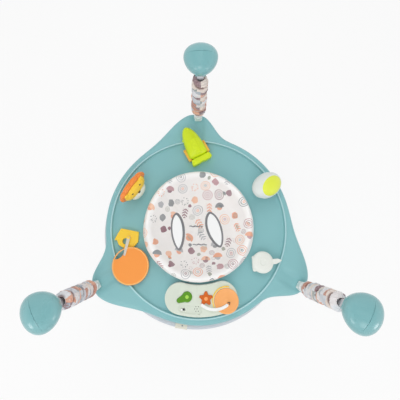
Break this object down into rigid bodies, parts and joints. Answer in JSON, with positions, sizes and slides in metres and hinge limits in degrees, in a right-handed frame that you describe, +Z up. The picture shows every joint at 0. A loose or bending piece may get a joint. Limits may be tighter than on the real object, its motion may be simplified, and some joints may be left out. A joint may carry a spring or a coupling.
{
  "type": "baby activity jumper",
  "caption": "Round play tray with toys and a turning fabric seat, hung on springs in gathered sleeves from capped posts on a floor ring.",
  "frame": {"origin": "on the floor, under the middle of the whole object's bounding box", "axes": "+Z up, -Y towards the front (the side with the sound console), +X to the right as the front is faced"},
  "size_m": [0.759, 0.793, 0.737],
  "materials": {
    "teal_plastic": "moulded, satin",
    "pale_tube": "powder coated, pale grey",
    "cream_plastic": "moulded, satin",
    "webbing": "woven webbing, white",
    "spring_steel": "drawn wire",
    "screw_steel": "zinc plated",
    "print_fabric": "white cotton with a small scattered print in peach, plum and grey",
    "pale_plastic": "moulded, satin",
    "white_plastic": "moulded, soft gloss",
    "battery_shell": "plain cells",
    "circuit_board": "green laminate",
    "dark_plastic": "moulded, matt",
    "lime_plastic": "moulded, soft gloss",
    "yellow_plastic": "moulded, soft gloss",
    "orange_plastic": "moulded, soft gloss",
    "mane_plastic": "moulded, soft gloss",
    "peach_plastic": "moulded, soft gloss",
    "green_plastic": "moulded, soft gloss"
  },
  "bodies": {
    "frame": {"base_tube_left": "pale_tube", "base_tube_front": "pale_tube", "base_tube_right": "pale_tube", "base_coupler": "cream_plastic", "foot_back": "teal_plastic", "foot_left": "teal_plastic", "foot_right": "teal_plastic", "post_back": "pale_tube", "post_left": "pale_tube", "post_right": "pale_tube", "cap_inner_back": "teal_plastic", "cap_inner_left": "teal_plastic", "cap_inner_right": "teal_plastic", "cap_outer_back": "teal_plastic", "cap_outer_left": "teal_plastic", "cap_outer_right": "teal_plastic", "strap_back": "webbing", "strap_left": "webbing", "strap_right": "webbing", "spring_back": "spring_steel", "spring_left": "spring_steel", "spring_right": "spring_steel", "sleeve_back": "print_fabric", "sleeve_left": "print_fabric", "sleeve_right": "print_fabric"},
    "tray": {"tray_top": "teal_plastic", "tray_bottom": "teal_plastic", "tray_screw_back": "screw_steel", "tray_screw_left": "screw_steel", "tray_screw_right": "screw_steel", "strap_hook_back": "pale_plastic", "strap_hook_left": "pale_plastic", "strap_hook_right": "pale_plastic", "console_base": "pale_plastic", "battery_door": "pale_plastic", "batteries": "battery_shell", "circuit_board": "circuit_board", "speaker": "dark_plastic", "console_face": "white_plastic", "console_trim": "white_plastic", "crocodile_base": "lime_plastic", "crocodile_legs": "yellow_plastic", "lion_post": "cream_plastic", "fruit_holder": "yellow_plastic", "whale_post": "cream_plastic", "ball_post": "cream_plastic"},
    "seat": {"seat_ring": "cream_plastic", "seat_cover": "print_fabric"},
    "crocodile_head": {"crocodile_jaw": "lime_plastic"},
    "lion_head": {"lion_mane": "mane_plastic", "lion_face": "yellow_plastic"},
    "fruit": {"fruit_tether": "cream_plastic", "orange_disc": "orange_plastic"},
    "whale": {"whale_body": "white_plastic"},
    "ball": {"toy_ball": "white_plastic", "ball_face": "lime_plastic"},
    "pear": {"pear_button": "green_plastic"},
    "star": {"star_button": "orange_plastic"},
    "spinner": {"peach_disc": "peach_plastic"},
    "switch": {"power_switch": "dark_plastic"}
  },
  "joints": [
    {"name": "tray_bounce", "type": "slide", "parent": "frame", "child": "tray", "axis": [0, 0, 1], "range_m": [-0.1, 0.03], "stiffness_N_per_m": 1400, "springref_m": 0.0224, "deforming": ["spring_back", "spring_left", "spring_right", "sleeve_back", "sleeve_left", "sleeve_right"]},
    {"name": "seat_spin", "type": "hinge", "parent": "tray", "child": "seat", "pos_m": [0, -0.03397, 0.39], "axis": [0, 0, 1], "continuous": true},
    {"name": "crocodile_snap", "type": "hinge", "parent": "tray", "child": "crocodile_head", "pos_m": [0.00442, 0.17768, 0.4095], "axis": [0.8721, 0.4894, 0], "range_deg": [0, 22]},
    {"name": "lion_rock", "type": "hinge", "parent": "tray", "child": "lion_head", "pos_m": [-0.19931, 0.07727, 0.416], "axis": [0.5736, 0.8191, 0], "range_deg": [-15, 15], "stiffness_Nm_per_rad": 1.2},
    {"name": "fruit_swing", "type": "hinge", "parent": "tray", "child": "fruit", "pos_m": [-0.205, -0.06997, 0.405], "axis": [0, 0, 1], "range_deg": [-14, 8]},
    {"name": "whale_turn", "type": "hinge", "parent": "tray", "child": "whale", "pos_m": [0.186, -0.13847, 0.4], "axis": [0, 0, 1], "range_deg": [-70, 70]},
    {"name": "ball_spin", "type": "hinge", "parent": "tray", "child": "ball", "pos_m": [0.199, 0.08203, 0.42], "axis": [0, 0, 1], "continuous": true},
    {"name": "pear_press", "type": "slide", "parent": "tray", "child": "pear", "axis": [0, 0, -1], "range_m": [0, 0.0025], "stiffness_N_per_m": 250, "springref_m": -0.002},
    {"name": "star_press", "type": "slide", "parent": "tray", "child": "star", "axis": [0, 0, -1], "range_m": [0, 0.0025], "stiffness_N_per_m": 250, "springref_m": -0.002},
    {"name": "peach_spin", "type": "hinge", "parent": "tray", "child": "spinner", "pos_m": [0.078, -0.24297, 0.4141], "axis": [0, 0, 1], "continuous": true},
    {"name": "power_slide", "type": "slide", "parent": "tray", "child": "switch", "axis": [1, 0, 0], "range_m": [0, 0.007]}
  ]
}
